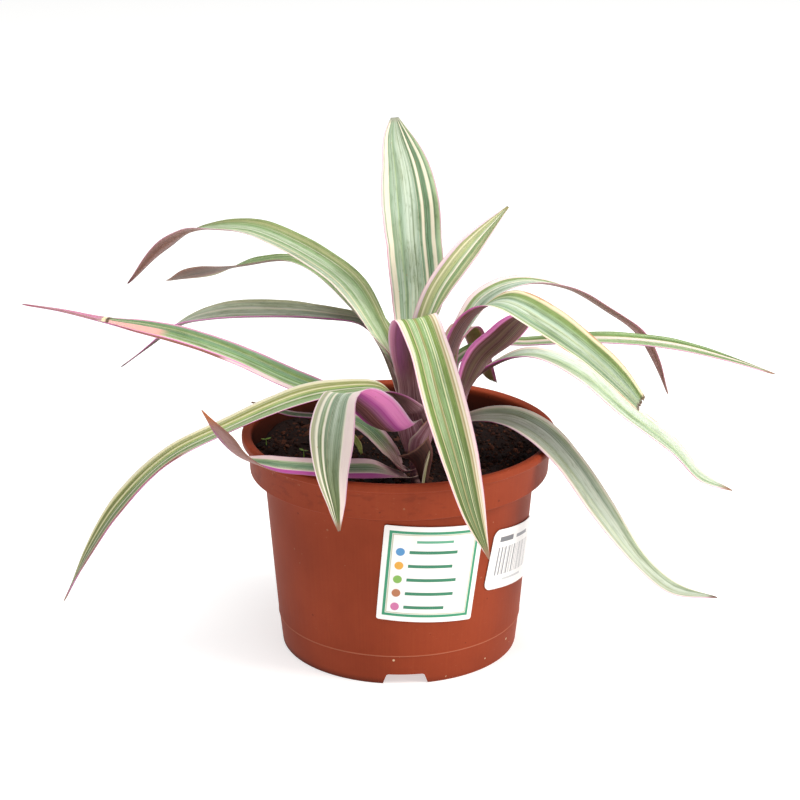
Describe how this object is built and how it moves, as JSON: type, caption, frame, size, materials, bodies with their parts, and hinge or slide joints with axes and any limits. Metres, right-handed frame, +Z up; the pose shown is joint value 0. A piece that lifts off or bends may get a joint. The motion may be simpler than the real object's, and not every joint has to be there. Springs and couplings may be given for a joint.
{
  "type": "potted tradescantia",
  "caption": "Variegated boat lily with long arching strap leaves, green above and purple below, planted in a terracotta-coloured plastic nursery pot with soil and two paper labels.",
  "frame": {"origin": "on the pot's axis at the underside of its foot ring, which is also the middle of the plant's footprint", "axes": "+Z up, -Y towards the front with the square label, +X to the right as seen from the front"},
  "size_m": [0.3344, 0.1811, 0.2372],
  "materials": {
    "terracotta_plastic": "satin moulded polypropylene",
    "peat": "rough fibrous growing medium",
    "card": "smooth coated label paper",
    "leaf": "waxy striped leaf, purple below",
    "stem": "fleshy purple-brown stem",
    "dried_leaf": "papery old leaf",
    "seedling": "fresh soft green"
  },
  "bodies": {
    "root": {"pot_shell": "terracotta_plastic", "soil": "peat", "label_square": "card", "label_rounded": "card", "stem_main": "stem", "stem_side": "stem", "leaf_on_rim": "leaf", "leaf_over_soil": "leaf", "leaf_right_arch": "leaf", "leaf_front_left": "leaf", "leaf_low_left": "leaf", "leaf_hanging_back": "leaf", "leaf_long_left": "leaf", "leaf_front": "leaf", "leaf_mid_left": "leaf", "leaf_right_behind": "leaf", "leaf_back_left": "leaf", "leaf_upper_left": "leaf", "leaf_small_upright": "leaf", "leaf_tall_upright": "leaf", "leaf_right_front": "leaf", "leaf_right_low": "leaf", "leaf_far_right": "leaf", "leaf_seen_below": "leaf", "old_sheath": "dried_leaf", "dry_sheath": "dried_leaf", "cut_stub": "dried_leaf", "seedling_left": "seedling", "seedling_middle": "seedling"}
  },
  "joints": []
}
